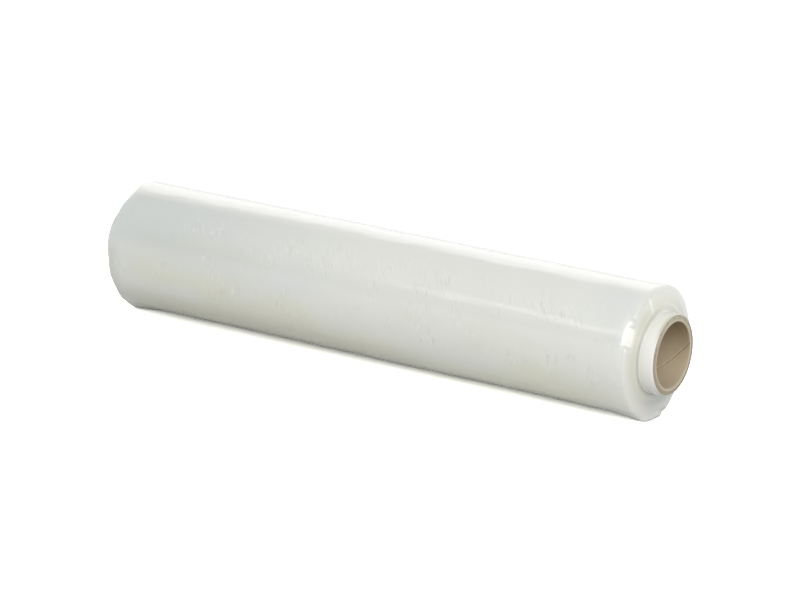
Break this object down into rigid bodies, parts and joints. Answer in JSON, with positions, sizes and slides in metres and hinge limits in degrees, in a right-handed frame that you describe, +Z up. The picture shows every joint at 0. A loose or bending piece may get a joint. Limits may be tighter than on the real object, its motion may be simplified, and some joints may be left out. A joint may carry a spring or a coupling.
{
  "type": "stretch wrap roll",
  "caption": "Hand roll of clear stretch film wound on a spiral paperboard core that stands out a little at both ends.",
  "frame": {"origin": "on the ground under the middle of the roll, as it lies on the flat that its own weight has pressed into the film", "axes": "+X along the roll's axis, towards the end that is nearer in the picture; +Z up"},
  "size_m": [0.5, 0.101, 0.1004],
  "materials": {
    "core_board": "bare grey-brown paperboard, matt, with a helical ply seam in the bore",
    "clear_film": "clear polyethylene film, milky white with a faint green-yellow tint where hundreds of turns lie together, glossy"
  },
  "bodies": {
    "root": {"core_tube": "core_board", "stretch_film": "clear_film"}
  },
  "joints": []
}
